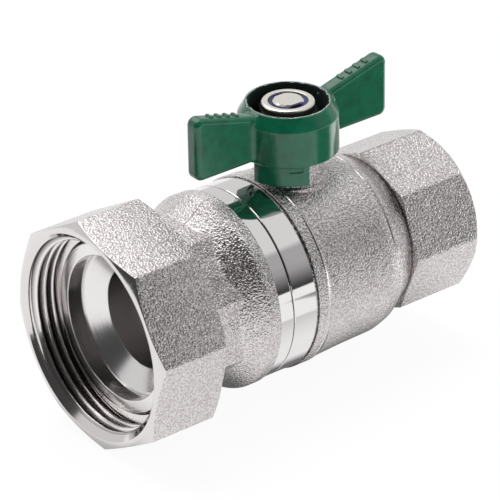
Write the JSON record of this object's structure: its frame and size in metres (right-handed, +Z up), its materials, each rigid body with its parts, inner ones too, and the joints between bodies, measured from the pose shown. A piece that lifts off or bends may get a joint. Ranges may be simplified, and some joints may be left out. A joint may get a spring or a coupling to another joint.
{
  "type": "isolating valve",
  "caption": "Nickel-plated isolating ball valve: female pipe thread at one end, loose octagonal union nut at the other, green butterfly handle on top.",
  "frame": {"origin": "on the flow line, where the wall of the female pipe thread begins behind its entry chamfer", "axes": "+X along the flow line out of the female pipe thread, away from the union nut; +Z up the stem to the handle"},
  "size_m": [0.1002, 0.0558, 0.0727],
  "materials": {
    "nickel_plated_brass": "nickel plate over a blasted forging, with polished bands",
    "chromed_brass": "polished chrome plate",
    "green_enamel": "glossy deep green coating",
    "zinc_plated_steel": "bright zinc plate",
    "spring_steel": "drawn wire",
    "ptfe": "waxy white",
    "blue_nylon": "smooth blue",
    "seal_rubber": "smooth black"
  },
  "bodies": {
    "housing": {"valve_body": "nickel_plated_brass", "end_adapter": "nickel_plated_brass", "joint_seal_ring": "seal_rubber", "body_seat_ring": "ptfe", "adapter_seat_ring": "ptfe", "stem_thrust_washer": "ptfe", "nut_retaining_ring": "spring_steel"},
    "rotor": {"handle": "green_enamel", "handle_nut": "zinc_plated_steel", "handle_nut_insert": "blue_nylon", "stem": "nickel_plated_brass", "stem_seal_lower": "seal_rubber", "stem_seal_upper": "seal_rubber", "ball": "chromed_brass"},
    "nut": {"union_nut": "nickel_plated_brass"}
  },
  "joints": [
    {"name": "handle_turn", "type": "hinge", "parent": "housing", "child": "rotor", "pos_m": [-0.03975, 0, 0], "axis": [0, 0, 1], "range_deg": [-90, 0]},
    {"name": "nut_spin", "type": "hinge", "parent": "housing", "child": "nut", "pos_m": [-0.0889, 0, 0], "axis": [1, 0, 0], "continuous": true}
  ]
}
